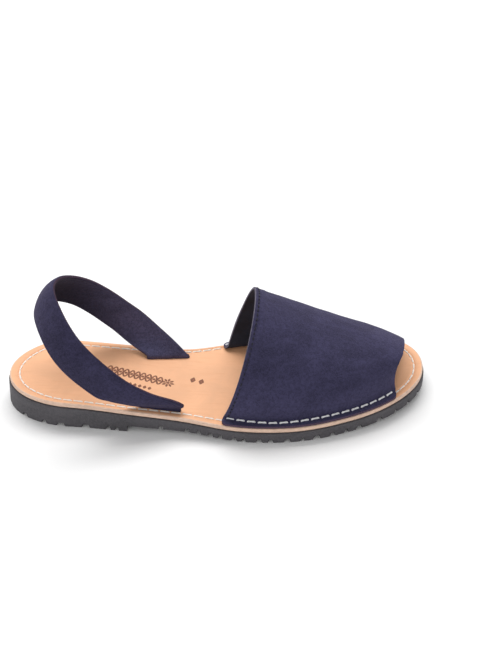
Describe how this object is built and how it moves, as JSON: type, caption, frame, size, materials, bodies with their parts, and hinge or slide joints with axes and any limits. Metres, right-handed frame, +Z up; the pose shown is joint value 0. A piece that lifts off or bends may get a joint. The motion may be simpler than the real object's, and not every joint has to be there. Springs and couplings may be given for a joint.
{
  "type": "avarca sandal",
  "caption": "Avarca sandal for a right foot: suede vamp with an open toe, suede sling strap, tan leather insole and a lugged rubber sole.",
  "frame": {"origin": "Middle of the sole's outline in plan, on the floor that the heel and the forefoot rest on.", "axes": "+X runs along the sole to the toe, +Y to the inner side of the right foot, +Z up."},
  "size_m": [0.2568, 0.094, 0.0809],
  "materials": {
    "rubber": "matte moulded rubber",
    "tan_leather": "smooth vegetable-tanned leather",
    "navy_suede": "navy suede with a short nap"
  },
  "bodies": {
    "root": {"outsole": "rubber", "insole": "tan_leather", "vamp": "navy_suede", "sling_strap": "navy_suede"}
  },
  "joints": []
}
